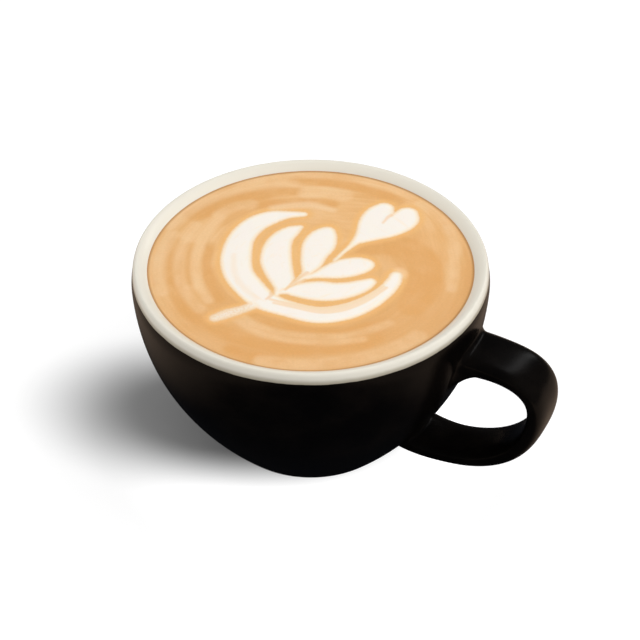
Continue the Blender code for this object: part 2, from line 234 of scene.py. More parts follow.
def strapSections():
    line = np.concatenate([cubic(stretch, measuringSteps) for stretch in strap["line"]])
    line = np.vstack([line, strap["line"][-1][-1]]) * mm
    length = np.linalg.norm(np.diff(line, axis=0), axis=1).sum()
    runOn = np.linspace(0.0, strap["runOn"], strap["runOnSteps"])[1:, None]
    before = (line[0] - line[1]) / np.linalg.norm(line[0] - line[1])
    after = (line[-1] - line[-2]) / np.linalg.norm(line[-1] - line[-2])
    line = np.vstack([line[0] + before * runOn[::-1], line, line[-1] + after * runOn])
    way = np.concatenate([[0.0], np.cumsum(np.linalg.norm(np.diff(line, axis=0), axis=1))])
    share = (way - strap["runOn"]) / length
    tangent = np.gradient(line, axis=0)
    tangent /= np.linalg.norm(tangent, axis=1)[:, None]
    still = np.zeros(len(line))
    middle = np.stack([line[:, 0], still, line[:, 1]], axis=1)
    bendOut = np.stack([-tangent[:, 1], still, tangent[:, 0]], axis=1)
    thickness = np.interp(share, strap["stations"], strap["thickness"]) * mm / 2
    width = np.interp(share, strap["stations"], strap["width"]) * mm / 2
    blur = np.hanning(strap["blur"])
    blur /= blur.sum()
    margin = strap["blur"] // 2
    thickness = np.convolve(np.pad(thickness, margin, mode="edge"), blur, mode="valid")
    width = np.convolve(np.pad(width, margin, mode="edge"), blur, mode="valid")
    return share, middle, bendOut, thickness, width


def strapRail(angle, sections):
    share, middle, bendOut, thickness, width = sections
    side = np.array([0.0, 1.0, 0.0])
    across, outward = math.cos(angle), math.sin(angle)
    power = 2.0 / strap["squareness"]
    flatAcross = math.copysign(abs(across) ** power, across)
    flatOutward = math.copysign(abs(outward) ** power, outward)
    rail = middle + (flatOutward * thickness)[:, None] * bendOut
    rail += (flatAcross * width)[:, None] * side
    normal = (flatOutward * abs(flatOutward) / thickness)[:, None] * bendOut
    normal += (flatAcross * abs(flatAcross) / width)[:, None] * side
    normal /= np.linalg.norm(normal, axis=1)[:, None]
    half, every = len(rail) // 2, strap["rowSpacing"]
    fillet = strap["fillet"]
    holeSide = (1.0 - math.cos(math.pi * max(0.0, -outward))) / 2
    innerShare = ((1.0 - outward) / 2) ** 2
    upper = fillet + (strap["topFillet"] - fillet) * holeSide
    lower = strap["underFillet"] + (fillet - strap["underFillet"]) * innerShare
    turn = np.linspace(0.0, math.pi / 2, strap["filletSteps"] + 1)
    ends = []
    for reach, rows in ((upper, slice(0, half, every)), (lower, slice(-1, half, -every))):
        swell = reach * (1.0 - np.sin(turn))
        height = reach * (1.0 - np.cos(turn)) - strap["sink"]
        at = []
        for out, target in zip(swell, height):
            distance = distanceToBody((rail + normal * out)[rows])
            at.append(np.interp(target, distance, share[rows]))
        distance = distanceToBody((rail + normal * swell[0])[rows])
        root = np.interp(-strap["rootDepth"], distance, share[rows])
        ends.append((np.array([root, *at]), np.concatenate([swell[:1], swell])))
    (topAt, topSwell), (lowAt, lowSwell) = ends
    free = np.linspace(topAt[-1], lowAt[-1], strap["steps"] + 1)[1:-1]
    at = np.concatenate([topAt, free, lowAt[::-1]])
    swell = np.concatenate([topSwell, np.zeros(len(free)), lowSwell[::-1]])
    columns = [np.interp(at, share, values) for values in (*rail.T, *normal.T)]
    return np.stack(columns[:3], axis=1) + np.stack(columns[3:], axis=1) * swell[:, None]


def strapMesh():
    sections = strapSections()
    around = strap["around"]
    angles = np.arange(around) * (2 * math.pi / around)
    rings = np.array([strapRail(angle, sections) for angle in angles]).transpose(1, 0, 2)
    faces = ringFaces(len(rings), around)
    faces.append(tuple(range(around)))
    faces.append(tuple((len(rings) - 1) * around + j for j in range(around))[::-1])
    return rings.reshape(-1, 3), faces


def makeCup():
    outside = outerCurve(cup["outerSteps"])
    start, end = cup["turnInFrom"], outside[0, 1]
    turned = np.clip((outside[:, 1] - start) / (end - start), 0.0, 1.0)
    outside[:, 0] -= cup["turnIn"] * turned**2
    outline = np.vstack([innerCurve(cup["innerSteps"]), lipCurve(), outside, footCurve()])
    bodyVertices, bodyFaces = turnedMesh(outline, cup["around"])
    strapVertices, strapFaces = strapMesh()
    count = len(bodyVertices)
    faces = bodyFaces + [tuple(count + i for i in face) for face in strapFaces]
    piece = addMesh("glazed_cup", np.vstack([bodyVertices, strapVertices]), faces)
    shape = bmesh.new()
    shape.from_mesh(piece.data)
    bmesh.ops.recalc_face_normals(shape, faces=shape.faces)
    shape.to_mesh(piece.data)
    shape.free()
    lining = (outline[1:-1, 1] - cup["glazeLine"]) / mm
    lining[: np.argmax(outline[:, 1])] = insideLining  # from the floor's middle up to the lip's top
    lining = np.repeat(lining, cup["around"])
    lining = np.concatenate([lining, (insideLining, -insideLining)])
    storeValues(piece, "lining", np.pad(lining, (0, len(strapVertices)), constant_values=-insideLining))
    smooth(piece)
    return piece


cupPiece = makeCup()
print("cup done", len(cupPiece.data.polygons))

# Drink
drink = {
    "level": cup["height"] - 2.0 * mm,
    "wallRadius": 43.1 * mm,
    "edgeRadius": 43.4 * mm,  # it reaches just into the wall, so no gap shows
    "intoWall": 0.15 * mm,  # and so do its sides below
    "foamDepth": 3.0 * mm,
    "ringSpans": ((31.0, 124), (42.0, 22), (43.4, 10)),  # out to which radius in mm, and how many
    "sideSteps": 40,
    "around": 512,
    "turn": math.radians(26.8),  # the pattern is drawn facing the pourer, and turned to the handle
    "shift": 0.67,  # and moved away from the pourer by this many mm
    "meniscus": (0.22 * mm, 0.5 * mm),  # how high it climbs at the wall, and how wide it is
    "foamRise": (0.06 * mm, 2.0),  # how much the foam stands proud, and over how many mm inward
}

# Each piece of the milk foam is a ribbon: x, y and half width along its middle line, in mm.
foamRibbons = {
    "crescent": (
        (-2.0, 22.1, 1.0),
        (-6.2, 21.9, 1.6),
        (-10.9, 20.6, 2.9),
        (-15.4, 17.2, 3.4),
        (-18.7, 11.1, 3.6),
        (-19.8, 3.0, 4.1),
        (-19.1, -3.6, 4.0),
        (-16.5, -9.2, 4.0),
        (-12.3, -15.2, 3.7),
        (-6.4, -18.7, 3.1),
        (1.4, -21.5, 3.2),
        (8.2, -20.5, 3.15),
        (14.1, -17.2, 2.8),
        (18.9, -12.4, 2.3),
        (21.5, -8.1, 2.0),
        (22.4, -5.2, 1.6),
    ),
    "left_leaf": (
        (-8.8, -13.0, 0.8),
        (-8.2, -10.6, 1.2),
        (-7.4, -7.6, 3.0),
        (-8.4, -3.3, 3.75),
        (-9.2, 1.4, 4.15),
        (-9.0, 6.6, 3.8),
        (-7.8, 11.0, 3.1),
        (-5.4, 14.2, 2.3),
        (-2.9, 16.2, 0.8),
    ),
    "middle_leaf": (
        (-5.1, -9.2, 0.8),
        (-2.7, -6.4, 0.8),
        (-0.9, -3.4, 1.4),
        (0.2, 0.1, 2.8),
        (1.0, 4.2, 3.6),
        (2.2, 8.1, 4.4),
        (3.2, 11.4, 3.8),
        (4.3, 13.9, 2.3),
        (5.0, 15.2, 0.9),
    ),
    "upper_right_leaf": (
        (-3.4, -8.2, 0.8),
        (-1.5, -6.1, 0.9),
        (1.4, -4.9, 1.3),
        (5.1, -3.5, 2.8),
        (8.6, -2.2, 3.9),
        (12.0, -1.1, 3.7),
        (14.2, -0.6, 2.6),
        (15.1, -0.6, 1.3),
    ),
    "lower_right_leaf": (
        (-8.8, -12.4, 0.8),
        (-6.2, -11.6, 1.3),
        (-2.6, -11.4, 2.9),
        (1.9, -11.6, 4.0),
        (5.9, -11.9, 3.7),
        (9.9, -11.1, 3.1),
        (13.2, -9.6, 2.5),
        (15.5, -8.0, 1.6),
    ),
    "heart_left": (
        (6.4, 1.4, 0.5),
        (8.6, 4.8, 0.5),
        (11.3, 8.4, 0.9),
        (14.4, 13.0, 2.3),
        (16.9, 18.0, 3.9),
        (18.6, 21.8, 3.9),
        (20.1, 24.6, 2.7),
    ),
    "heart_right": (
        (12.6, 9.6, 0.9),
        (16.8, 12.8, 2.6),
        (21.4, 16.0, 4.0),
        (25.1, 19.2, 4.1),
        (26.4, 22.2, 2.9),
    ),
    "tail": (
        (-13.0, -16.4, 1.5),
        (-17.2, -19.0, 1.2),
        (-21.2, -20.9, 1.5),
        (-24.4, -22.7, 1.2),
    ),
}

# Soft lines drawn in the drink: x, y and half width along each, in mm.
goldenLines = (  # folds in the foam where the crema shows through
    ((22.0, 21.6, 0.3), (21.1, 20.8, 0.2), (20.3, 19.3, 0.1), (19.6, 18.0, 0.05)),
    ((-10.0, -12.4, 0.45), (-10.4, -13.8, 0.25), (-11.4, -15.0, 0.1)),
    ((-4.2, -7.5, 0.4), (-5.4, -9.4, 0.2), (-6.6, -11.2, 0.1)),
    ((-1.0, -3.9, 0.3), (-2.6, -5.8, 0.15), (-4.0, -7.6, 0.1)),
    ((-1.5, -7.0, 0.3), (-3.4, -8.2, 0.2), (-5.4, -9.8, 0.1)),
)
foldLines = (  # the peach fold along the crescent's lower side
    (
        *((-9.5, -16.6, 0.2), (-4.0, -18.2, 0.55), (2.8, -20.1, 0.75)),
        *((8.8, -19.0, 0.7), (14.6, -15.4, 0.5), (19.6, -10.4, 0.3)),
    ),
    (
        *((-10.4, -15.2, 0.2), (-4.0, -17.4, 0.4), (3.0, -18.9, 0.45)),
        *((9.6, -17.6, 0.4), (15.4, -13.6, 0.3), (19.0, -9.8, 0.1)),
    ),
)
armLines = (  # and a fainter one along its left arm
    ((-20.4, 4.0, 0.1), (-20.2, -3.0, 0.3), (-18.8, -7.6, 0.4), (-16.4, -11.8, 0.4), (-13.8, -14.8, 0.2)),
)
paleLines = (  # crema mixed with milk, outside the foam
    (
        *((-10.2, 24.9, 0.5), (-7.8, 25.6, 0.6), (-5.1, 26.1, 0.7), (-2.5, 26.5, 0.7)),
        *((0.0, 26.6, 0.6), (2.6, 25.6, 0.4), (6.0, 24.0, 0.1)),
    ),
    ((23.6, -5.4, 0.5), (23.8, -4.2, 0.5), (23.2, -3.2, 0.4)),
)
paleStreams = (  # wide drifts of paler crema
    (
        *((-20, 26.5, 0.8), (-24, 22, 0.8), (-28, 14, 0.8), (-30.3, 5, 0.8)),
        *((-30.6, -3, 0.8), (-29, -10, 0.8), (-26.5, -15.5, 0.8)),
    ),
    ((-31, 17, 1), (-34, 9, 1), (-34.8, 1, 1), (-34, -7, 1), (-32, -13, 1), (-28.5, -19, 1)),
    ((-37, 13, 1), (-39.5, 4, 1), (-40, -4, 1), (-38.5, -12, 1)),
    ((-38, 17, 1.2), (-33, 24, 1.2), (-27, 29.5, 1.2), (-20, 33.5, 1.2), (-12, 36, 1.2), (-5, 36.5, 1.2)),
    ((-25, 22, 1.3), (-21, 25.5, 1.3), (-16.5, 27, 1.3)),
    ((-1, 32, 2), (4, 32.5, 2), (9, 31, 2)),
    ((-20, 37, 1.3), (-10, 40, 1.3), (0, 41, 1.3), (10, 40, 1.3), (20, 36, 1.3), (28, 31, 1.3)),
    ((30, 27, 0.9), (35, 21, 0.9), (38, 13, 0.9), (38.5, 5, 0.9), (37.5, -3, 0.8), (36.5, -11, 0.6)),
    (
        *((-19, -21, 0.6), (-14, -25.5, 0.6), (-8, -28.5, 0.6), (0, -30, 0.6)),
        *((8, -30, 0.6), (14, -28, 0.6), (20, -25, 0.6)),
    ),
    ((-19, -23, 0.6), (-15, -27, 0.6), (-9, -30.3, 0.6), (-2, -31.9, 0.6), (6, -32.2, 0.6), (13, -31, 0.6)),
    ((-12, -39.5, 1.6), (-4, -41, 1.6), (5, -40.5, 1.6), (14, -38, 1.6), (22, -34, 1.6), (27, -30, 1.6)),
)
darkStreams = (  # and of darker crema
    ((-32, 22, 1.8), (-26, 26, 2.2), (-21, 29, 2.2), (-15, 31.5, 2.2), (-9, 33.5, 1.8), (-4, 33, 1.2)),
    ((-14, 26, 0.8), (-8, 27.7, 0.8), (0, 28.5, 0.8), (6, 27, 0.8)),
    ((-4, 38, 1.2), (4, 37, 1.2), (12, 35, 1.2), (20, 31.5, 1.2), (24, 28, 1.2)),
    ((12, 6, 3), (20, 9, 4), (27, 5, 4), (30, -2, 4), (29, -10, 4), (26, -18, 3)),
    ((-15, -21, 0.8), (-9, -25, 0.8), (0, -27.5, 0.8), (8, -28, 0.8), (14, -26, 0.8)),
    ((-25, -26, 1.5), (-18, -31, 1.5), (-10, -34, 1.5), (0, -35, 1.5), (10, -34, 1.5), (16, -31, 1.5)),
    ((-20, -35, 1), (-12, -38.5, 1)),
    ((-27, 8, 0.7), (-27.5, 0, 0.7), (-26.5, -8, 0.7), (-23.5, -15, 0.7)),
    ((-32.5, 8, 0.5), (-33, 0, 0.5), (-32, -8, 0.5)),
    ((-36.5, 10, 1), (-37.5, 2, 1), (-37, -6, 1), (-35, -13, 1), (-31, -21, 1), (-26, -26, 1)),
)
softness = {  # how far each kind of line fades outward, in mm
    "golden": 0.55,
    "fold": 0.45,
    "arm": 1.0,
    "pale": 1.6,
    "paleStream": 1.4,
    "darkStream": 1.6,
    "tail": 0.8,
}
armShare = 0.35  # how strong the arm's line is beside the fold's
flow = {  # the crema's streaks run round this point and spread out towards the wall
    "middle": (-1.0, 0.5),
    "twist": 0.012,  # how far they turn for each mm outward, in radians
    "length": 6.0,
    "byRadius": 0.75,
    "byShare": 7.0,
}
nearShade = {"direction": (0.35, -0.94), "start": -4.0, "width": 36.0}  # painted shade: the crema is darkened towards the near side, from start over width, in mm
tailStart = 4.0  # the tail fades in over this many mm


def smoothRow(stations, steps):
    row = np.array(stations, float)
    row = np.vstack([2 * row[0] - row[1], row, 2 * row[-1] - row[-2]])
    line = []
    for before, here, after, later in zip(row, row[1:], row[2:], row[3:]):
        for t in np.linspace(0.0, 1.0, steps, endpoint=False):
            straight = 2 * here + (after - before) * t
            curved = (2 * before - 5 * here + 4 * after - later) * t**2
            line.append(0.5 * (straight + curved + (3 * here - before - 3 * after + later) * t**3))
    return np.array([*line, row[-2]])


def depthInRibbon(places, stations, steps=6):  # mm inside its outline, negative outside, and mm along it
    row = smoothRow(stations, steps)
    best = np.full(len(places), -1e3)
    place = np.zeros(len(places))
    travelled = 0.0
    for start, end in zip(row, row[1:]):
        run = end[:2] - start[:2]
        length = math.hypot(*run)
        along = np.clip(((places - start[:2]) @ run) / length**2, 0.0, 1.0)
        away = np.linalg.norm(places - start[:2] - along[:, None] * run, axis=1)
        depth = start[2] + (end[2] - start[2]) * along - away
        place = np.where(depth > best, travelled + along * length, place)
        best = np.maximum(best, depth)
        travelled += length
    return best, place


def patternPlaces(points):  # points of the frame as x and y in the pattern's own drawing, in mm
    c, s = math.cos(-drink["turn"]), math.sin(-drink["turn"])
    x, y = points[:, 0] / mm, points[:, 1] / mm
    return np.stack([x * c - y * s, x * s + y * c - drink["shift"]], axis=1)


def foamDistance(places):
    return np.max([depthInRibbon(places, row)[0] for row in foamRibbons.values()], axis=0)


def lineMask(places, lines, softness):
    found = np.max([depthInRibbon(places, row)[0] for row in lines], axis=0)
    return np.clip(found / softness + 1.0, 0.0, 1.0)


def storeFields(piece):
    points = np.empty(len(piece.data.vertices) * 3)
    piece.data.vertices.foreach_get("co", points)
    points = points.reshape(-1, 3)
    places = patternPlaces(points)
    depth = foamDistance(places)
    radius = np.hypot(points[:, 0], points[:, 1]) / mm
    toWall = np.maximum(0.0, drink["wallRadius"] / mm - radius)
    outside = np.maximum(0.0, -depth)
    share = outside / np.maximum(outside + toWall, 1e-3)
    offset = places - np.array(flow["middle"])
    bend = np.arctan2(offset[:, 1], offset[:, 0]) + flow["twist"] * radius
    ring = flow["byRadius"] * radius + flow["byShare"] * share
    stream = np.stack([np.cos(bend) * flow["length"], np.sin(bend) * flow["length"], ring], axis=1)
    storeValues(piece, "foamDepth", depth)
    storeValues(piece, "toWall", toWall)
    storeVectors(piece, "stream", stream)
    storeVectors(piece, "drawing", np.column_stack([places, np.zeros(len(places))]))

    fold = lineMask(places, foldLines, softness["fold"])
    arm = lineMask(places, armLines, softness["arm"])
    storeValues(piece, "foldLine", np.maximum(fold, armShare * arm))
    storeValues(piece, "goldenLine", lineMask(places, goldenLines, softness["golden"]))
    storeValues(piece, "paleLine", lineMask(places, paleLines, softness["pale"]))
    storeValues(piece, "paleStream", lineMask(places, paleStreams, softness["paleStream"]))
    storeValues(piece, "darkStream", lineMask(places, darkStreams, softness["darkStream"]))

    # painted shade: a share that rises towards the near side of the drink
    towards = places @ nearShade["direction"]
    storeValues(piece, "nearShade", np.clip((towards - nearShade["start"]) / nearShade["width"], 0.0, 1.0))
    tailDepth, tailPlace = depthInRibbon(places, foamRibbons["tail"])
    inTail = np.clip(tailDepth / softness["tail"] + 1.0, 0.0, 1.0)
    storeValues(piece, "tail", inTail * np.clip(tailPlace / tailStart, 0.0, 1.0))


def surfaceHeight(points):
    places = patternPlaces(points)
    radius = np.hypot(points[:, 0], points[:, 1])
    climb, width = drink["meniscus"]
    rise, reach = drink["foamRise"]
    t = np.clip(foamDistance(places) / reach, 0.0, 1.0)
    edge = climb * np.exp(-np.maximum(0.0, drink["wallRadius"] - radius) / width)
    return drink["level"] + edge + rise * t * t * (3 - 2 * t)


def surfaceSheet():  # the drink's whole surface, its faces split along the foam's outline
    radii = [0.0]
    for reach, rings in drink["ringSpans"]:
        radii = [*radii, *np.linspace(radii[-1], reach, rings + 1)[1:]]
    radii = np.array(radii[1:]) * mm
    around = drink["around"]
    angles = np.arange(around) * (2 * math.pi / around)
    x = radii[:, None] * np.cos(angles)
    y = radii[:, None] * np.sin(angles)
    flat = np.stack([x, y, np.zeros_like(x)], axis=2).reshape(-1, 3)
    flat = np.vstack([flat, (0.0, 0.0, 0.0)])
    faces = ringFaces(len(radii), around)
    faces += [(len(flat) - 1, j, (j + 1) % around) for j in range(around)]
    flat[:, 2] = foamDistance(patternPlaces(flat)) * mm
    shape = bmesh.new()
    mesh = bpy.data.meshes.new("surface")
    mesh.from_pydata(flat.tolist(), [], faces)
    shape.from_mesh(mesh)
    bpy.data.meshes.remove(mesh)
    everything = shape.verts[:] + shape.edges[:] + shape.faces[:]
    bmesh.ops.bisect_plane(shape, geom=everything, dist=1e-6, plane_co=(0, 0, 0), plane_no=(0, 0, 1))
    bmesh.ops.triangulate(shape, faces=[f for f in shape.faces if len(f.verts) > 4])
    return shape


def splitSheet(shape):  # the crema's faces and the milk foam's, over shared points
    shape.verts.index_update()
    points = np.array([v.co for v in shape.verts])
    crema, foam = [], []
    for face in shape.faces:
        corners = [v.index for v in face.verts]
        middle = sum(points[i][2] for i in corners)
        (foam if middle > 0 else crema).append(corners)
    points[:, 2] = 0.0
    points[:, 2] = surfaceHeight(points)
    return points, crema, foam


def borderEdges(faces):  # edges with a face on one side only, in the direction of that face
    edges = {(a, b) for face in faces for a, b in zip(face, face[1:] + face[:1])}
    return [(a, b) for a, b in edges if (b, a) not in edges]


def slab(points, faces, depth):  # faces, a wall round them and the same faces below, closed
    used = sorted({i for face in faces for i in face})
    new = {old: number for number, old in enumerate(used)}
    top = points[used]
    bottom = top.copy()
    bottom[:, 2] = drink["level"] - depth
    count = len(used)
    upper = [tuple(new[i] for i in face) for face in faces]
    lower = [tuple(count + i for i in face)[::-1] for face in upper]
    walls = [(new[b], new[a], count + new[a], count + new[b]) for a, b in borderEdges(faces)]
    return np.vstack([top, bottom]), upper + lower + walls


def makeFoam(points, faces):
    vertices, allFaces = slab(points, faces, drink["foamDepth"])
    piece = addMesh("milk_pattern", vertices, allFaces)
    storeFields(piece)
    smooth(piece)
    return piece


def makeCoffee(points, crema, foam):  # the surface, the recess under the foam, and the sides
    around = drink["around"]
    foamVertices, foamFaces = slab(points, foam, drink["foamDepth"])
    floorCount = len(foamVertices) // 2
    used = sorted({i for face in foam for i in face})
    new = {old: number for number, old in enumerate(used)}
    floor = foamVertices[floorCount:]
    vertices = np.vstack([points, floor])
    start = len(points)
    faces = [tuple(face) for face in crema]
    faces += [tuple(start + new[i] for i in face) for face in foam]
    faces += [(a, b, start + new[b], start + new[a]) for a, b in borderEdges(foam)]
    below = innerCurve(drink["sideSteps"], -drink["intoWall"])
    below = np.vstack([below, lipCurve()[0] + (drink["intoWall"], 0.0)])
    radii = np.hypot(points[:, 0], points[:, 1])
    rim = np.flatnonzero(radii > drink["edgeRadius"] - 1e-6)
    rim = rim[np.argsort(np.arctan2(points[rim, 1], points[rim, 0]))]
    angles = np.arctan2(points[rim, 1], points[rim, 0])
    rings = below[::-1][:-1]
    count = len(vertices)
    x, y = rings[:, 0, None] * np.cos(angles), rings[:, 0, None] * np.sin(angles)
    side = np.stack([x, y, np.repeat(rings[:, 1, None], len(rim), axis=1)], axis=2)
    vertices = np.vstack([vertices, side.reshape(-1, 3), (0.0, 0.0, below[0][1])])
    faces += [tuple(count + i for i in face) for face in ringFaces(len(rings), len(rim))]
    last = len(vertices) - 1
    low = count + (len(rings) - 1) * len(rim)
    for j in range(len(rim)):
        k = (j + 1) % len(rim)
        faces.append((int(rim[j]), count + j, count + k, int(rim[k])))
        faces.append((low + j, last, low + k))
    kept = sorted({i for face in faces for i in face})
    place = {old: number for number, old in enumerate(kept)}
    faces = [tuple(place[i] for i in face) for face in faces]
    piece = addMesh("crema_surface", vertices[kept], faces)
    storeFields(piece)
    smooth(piece)
    return piece


sheet = surfaceSheet()
sheetPoints, cremaFaces, foamFaces = splitSheet(sheet)
sheet.free()
foamPiece = makeFoam(sheetPoints, foamFaces)
coffeePiece = makeCoffee(sheetPoints, cremaFaces, foamFaces)
print("drink done", len(foamPiece.data.polygons), len(coffeePiece.data.polygons))


# Materials
def newGroup(name, inputs, outputs):
    group = bpy.data.node_groups.new(name, "ShaderNodeTree")
    for label, kind in inputs:
        group.interface.new_socket(label, in_out="INPUT", socket_type=kind)
    for label, kind in outputs:
        group.interface.new_socket(label, in_out="OUTPUT", socket_type=kind)
    return group, group.nodes.new("NodeGroupInput"), group.nodes.new("NodeGroupOutput")


class Tree:  # short calls to add and join shader nodes
    def __init__(self, tree):
        self.tree = tree

    def node(self, kind, **inputs):
        made = self.tree.nodes.new(kind)
        for name, value in inputs.items():
            self.put(made.inputs[name], value)
        return made

    def put(self, socket, value):
        if isinstance(value, bpy.types.NodeSocket):
            self.tree.links.new(value, socket)
        else:
            socket.default_value = value

    def value(self, name):
        made = self.tree.nodes.new("ShaderNodeAttribute")
        made.attribute_name = name
        return made.outputs["Fac"]

    def vector(self, name):
        made = self.tree.nodes.new("ShaderNodeAttribute")
        made.attribute_name = name
        return made.outputs["Vector"]

    def math(self, operation, a, b=0.0):
        made = self.tree.nodes.new("ShaderNodeMath")
        made.operation = operation
        self.put(made.inputs[0], a)
        self.put(made.inputs[1], b)
        return made.outputs["Value"]

    def ramp(self, value, low, high, start=0.0, end=1.0):
        made = self.tree.nodes.new("ShaderNodeMapRange")
        made.interpolation_type = "SMOOTHSTEP"
        self.put(made.inputs["Value"], value)
        ends = {"From Min": low, "From Max": high, "To Min": start, "To Max": end}
        for name, number in ends.items():
            self.put(made.inputs[name], number)
        return made.outputs["Result"]

    def noise(self, vector, scale, detail=2.0, roughness=0.5, distortion=0.0):
        made = self.tree.nodes.new("ShaderNodeTexNoise")
        self.put(made.inputs["Vector"], vector)
        amounts = {"Scale": scale, "Detail": detail, "Roughness": roughness, "Distortion": distortion}
        for name, number in amounts.items():
            self.put(made.inputs[name], number)
        return made.outputs["Fac"]

    def scaled(self, vector, factors):
        made = self.tree.nodes.new("ShaderNodeVectorMath")
        made.operation = "MULTIPLY"
        self.put(made.inputs[0], vector)
        made.inputs[1].default_value = factors
        return made.outputs["Vector"]

    def length(self, vector):
        made = self.tree.nodes.new("ShaderNodeVectorMath")
        made.operation = "LENGTH"
        self.put(made.inputs[0], vector)
        return made.outputs["Value"]

    def mix(self, share, first, second):
        made = self.tree.nodes.new("ShaderNodeMix")
        made.data_type = "RGBA"
        self.put(made.inputs["Factor"], share)
        self.put(made.inputs[6], first)  # inputs 6 and 7 and output 2 carry its colours
        self.put(made.inputs[7], second)
        return made.outputs[2]


def seen(*levels):  # a screen colour, 0 to 255, as the linear colour a shader takes
    shares = [level / 255 for level in levels]
    linear = [share / 12.92 if share < 0.04 else ((share + 0.055) / 1.055) ** 2.4 for share in shares]
    return (*linear, 1.0)


drinkColours = {
    "crema": seen(236, 188, 131),
    "darkStreak": seen(226, 168, 102),
    # painted shade: the crema's colour where it lies in shade on the near side
    "shadedCrema": seen(222, 166, 104),
    "paleStreak": seen(245, 209, 163),
    "fringe": seen(241, 188, 121),
    "peach": seen(247, 214, 174),
    "cream": seen(250, 231, 204),
    "milk": seen(248, 240, 230),
    "wall": seen(180, 127, 74),
    "tail": seen(241, 211, 176),
}


def drinkGroup():  # the drink's colour, roughness and relief, from the fields stored on it
    group, source, target = newGroup(
        "drink_look",
        [("Edge Wobble", "NodeSocketFloat")],
        [("Color", "NodeSocketColor"), ("Roughness", "NodeSocketFloat"), ("Relief", "NodeSocketFloat")],
    )
    t = Tree(group)
    drawing, stream = t.vector("drawing"), t.vector("stream")
    depth = t.value("foamDepth")
    colours = drinkColours

    # Crema: long streams round the pattern, broken up here and there, and soft wide drifts
    broad = t.noise(t.scaled(stream, (0.30, 0.30, 0.16)), 1.0, 2.0, 0.5, 0.3)
    fine = t.noise(t.scaled(stream, (0.35, 0.35, 0.75)), 1.0, 3.0, 0.55, 0.3)
    drift = t.noise(drawing, 0.055, 2.0, 0.5, 0.3)
    breakUp = t.ramp(t.noise(drawing, 0.16, 3.0, 0.6), 0.25, 0.70, 0.45, 1.0)
    tone = t.math("ADD", t.math("MULTIPLY", broad, 0.6), t.math("MULTIPLY", fine, 0.4))
    tone = t.math("ADD", tone, t.math("MULTIPLY", t.math("SUBTRACT", drift, 0.5), 0.5))
    dark = t.ramp(tone, 0.55, 0.36)
    pale = t.ramp(tone, 0.50, 0.70)
    crema = t.mix(t.math("MULTIPLY", dark, 0.55), colours["crema"], colours["darkStreak"])
    crema = t.mix(t.math("MULTIPLY", pale, 0.35), crema, colours["paleStreak"])
    # painted shade: the crema darkens towards the near side
    crema = t.mix(t.math("MULTIPLY", t.value("nearShade"), 0.6), crema, colours["shadedCrema"])
    darkShare = t.math("MULTIPLY", t.value("darkStream"), breakUp)
    crema = t.mix(t.math("MULTIPLY", darkShare, 0.9), crema, colours["darkStreak"])
    paleShare = t.math("MULTIPLY", t.value("paleStream"), breakUp)
    crema = t.mix(t.math("MULTIPLY", paleShare, 0.5), crema, colours["paleStreak"])
    near = t.ramp(depth, -2.6, -0.4)
    crema = t.mix(t.math("MULTIPLY", near, 0.85), crema, colours["fringe"])
    crema = t.mix(t.math("MULTIPLY", t.value("paleLine"), 0.5), crema, colours["peach"])

    # Milk foam: from the golden fringe over peach and cream to white
    wobble = t.math("SUBTRACT", t.noise(drawing, 1.1, 3.0, 0.65), 0.5)
    depthNow = t.math("ADD", depth, t.math("MULTIPLY", wobble, source.outputs["Edge Wobble"]))
    colour = t.mix(t.ramp(depthNow, -0.45, 0.12), crema, colours["peach"])
    colour = t.mix(t.ramp(depthNow, -0.05, 0.5), colour, colours["cream"])
    colour = t.mix(t.ramp(depthNow, 0.3, 1.3), colour, colours["milk"])
    inFoam = t.ramp(depthNow, -0.2, 0.3)
    streaky = t.ramp(t.noise(t.scaled(stream, (0.5, 0.5, 1.1)), 1.0, 2.0, 0.5, 0.2), 0.55, 0.75)
    colour = t.mix(t.math("MULTIPLY", t.math("MULTIPLY", streaky, inFoam), 0.35), colour, colours["cream"])
    foldMask = t.math("MULTIPLY", t.value("foldLine"), inFoam)
    colour = t.mix(t.math("MULTIPLY", foldMask, 0.75), colour, colours["peach"])
    goldMask = t.math("MULTIPLY", t.value("goldenLine"), 0.5)
    colour = t.mix(goldMask, colour, colours["fringe"])
    speckle = t.ramp(t.noise(drawing, 1.6, 3.0, 0.7), 0.42, 0.62)
    tailMask = t.math("MULTIPLY", t.value("tail"), t.math("ADD", t.math("MULTIPLY", speckle, 0.55), 0.35))
    colour = t.mix(tailMask, colour, colours["tail"])

    # A thin brown line where the drink meets the wall
    atWall = t.ramp(t.value("toWall"), 0.8, 0.1)
    colour = t.mix(t.math("MULTIPLY", atWall, 0.8), colour, colours["wall"])

    bubbles = t.noise(drawing, 4.5, 3.0, 0.65)
    coarse = t.noise(drawing, 1.7, 2.0, 0.6)
    grain = t.math("MULTIPLY", t.math("SUBTRACT", bubbles, 0.5), 0.10)
    coarseShare = t.ramp(depthNow, -0.3, 0.3, 0.15, 0.04)
    coarseGrain = t.math("MULTIPLY", t.math("SUBTRACT", coarse, 0.5), coarseShare)
    grain = t.math("ADD", grain, coarseGrain)
    shade = t.node("ShaderNodeHueSaturation", Color=colour, Value=t.math("ADD", grain, 1.0))
    group.links.new(shade.outputs["Color"], target.inputs["Color"])
    rough = t.ramp(depthNow, -0.5, 0.8, 0.34, 0.46)
    group.links.new(rough, target.inputs["Roughness"])
    relief = t.math("ADD", t.math("MULTIPLY", bubbles, 0.6), t.math("MULTIPLY", fine, 0.4))
    group.links.new(relief, target.inputs["Relief"])
    return group


def newMaterial(name):
    made = bpy.data.materials.new(name)
    made.use_nodes = True
    return made, Tree(made.node_tree), made.node_tree.nodes["Principled BSDF"]


drinkFinish = {
    "edgeWobble": 0.55,  # how uneven the foam's outline is, in mm
    "bump": 0.35,
    "bumpHeight": 0.06 * mm,
    "specular": 0.35,
    "subsurface": 0.15,
    "subsurfaceRadius": (1.0, 0.7, 0.45),
    "subsurfaceScale": 0.8 * mm,
}


